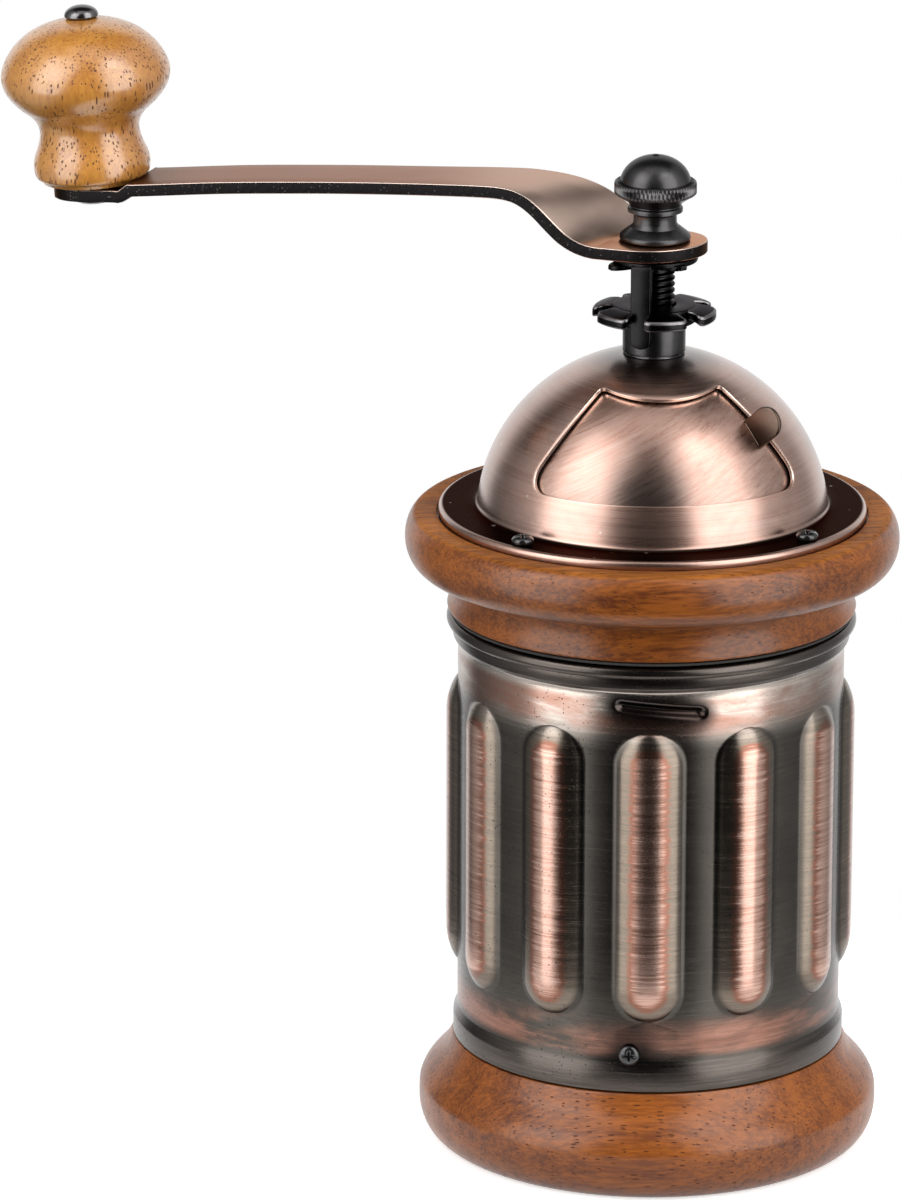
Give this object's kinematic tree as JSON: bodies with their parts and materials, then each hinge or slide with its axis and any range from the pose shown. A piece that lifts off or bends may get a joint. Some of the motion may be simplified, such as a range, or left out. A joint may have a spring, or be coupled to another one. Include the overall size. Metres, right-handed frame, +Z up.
{
  "type": "manual coffee grinder",
  "caption": "Hand coffee mill: domed hopper with a sliding door on a turned wooden collar, burrs below, a ribbed grounds can on a wooden base, and a crank arm with a wooden knob.",
  "frame": {"origin": "centre of the underside of the wooden base, on the axis of the mill", "axes": "+Z up the axis of the mill, -Y towards the front where the hopper door is, +X to the right seen from the front"},
  "size_m": [0.1801, 0.1031, 0.2225],
  "materials": {
    "red_wood": "reddish-brown turned hardwood, satin varnish",
    "tan_wood": "golden-tan turned hardwood, semi-gloss varnish",
    "aged_steel": "dark bronzed plating, brushed, rubbed through to copper on the ribs",
    "antique_copper": "antique copper plating, brushed, smoky in places",
    "arm_copper": "antique copper plating on the flat, dark and pitted on the edges",
    "black_steel": "black oxide, semi-gloss",
    "bright_steel": "plain pressed steel",
    "cast_iron": "as cast, ground teeth",
    "fibre": "dark matt fibre"
  },
  "bodies": {
    "can": {"wood_base": "red_wood", "grounds_can": "aged_steel", "can_screw_1": "black_steel", "can_screw_2": "black_steel", "can_screw_3": "black_steel"},
    "washer": {"rim_washer": "fibre"},
    "mill": {"wood_collar": "red_wood", "lock_ring": "bright_steel", "lock_ring_screw_1": "black_steel", "lock_ring_screw_2": "black_steel", "lock_ring_screw_3": "black_steel", "hopper_bowl": "bright_steel", "dome_cover": "antique_copper", "dome_screw_1": "black_steel", "dome_screw_2": "black_steel", "dome_screw_3": "black_steel", "dome_screw_4": "black_steel", "shaft_bush": "bright_steel", "bearing_nut": "black_steel", "outer_burr": "cast_iron", "burr_bridge": "bright_steel", "burr_screw_1": "black_steel", "burr_screw_2": "black_steel", "burr_screw_3": "black_steel"},
    "door": {"hopper_door": "antique_copper"},
    "adjuster": {"star_nut": "black_steel"},
    "crank": {"crank_shaft": "black_steel", "inner_burr": "cast_iron", "burr_washer": "bright_steel", "burr_nut": "bright_steel", "lock_plate": "black_steel", "crank_arm": "arm_copper", "knob_pin": "black_steel", "knob_washer": "black_steel"},
    "knob": {"wood_knob": "tan_wood"},
    "cap": {"cap_nut": "black_steel"}
  },
  "joints": [
    {"name": "mill_twist", "type": "hinge", "parent": "can", "child": "washer", "pos_m": [0, 0, 0.109], "axis": [0, 0, 1], "range_deg": [0, 22]},
    {"name": "mill_lift", "type": "slide", "parent": "washer", "child": "mill", "axis": [0, 0, 1], "range_m": [0, 0.06]},
    {"name": "door_slide", "type": "hinge", "parent": "mill", "child": "door", "pos_m": [0, 0, 0.1275], "axis": [0, 0, -1], "range_deg": [0, 88]},
    {"name": "crank_turn", "type": "hinge", "parent": "mill", "child": "adjuster", "pos_m": [0, 0, 0.165], "axis": [0, 0, 1], "continuous": true},
    {"name": "grind_adjust", "type": "slide", "parent": "adjuster", "child": "crank", "axis": [0, 0, -1], "range_m": [-0.0006, 0.0012]},
    {"name": "knob_spin", "type": "hinge", "parent": "crank", "child": "knob", "pos_m": [-0.1128, 0.03665, 0.18644], "axis": [-0.063, 0.0205, 0.9978], "continuous": true},
    {"name": "cap_nut_turn", "type": "hinge", "parent": "crank", "child": "cap", "pos_m": [0, 0, 0.19], "axis": [0, 0, 1], "continuous": true}
  ]
}
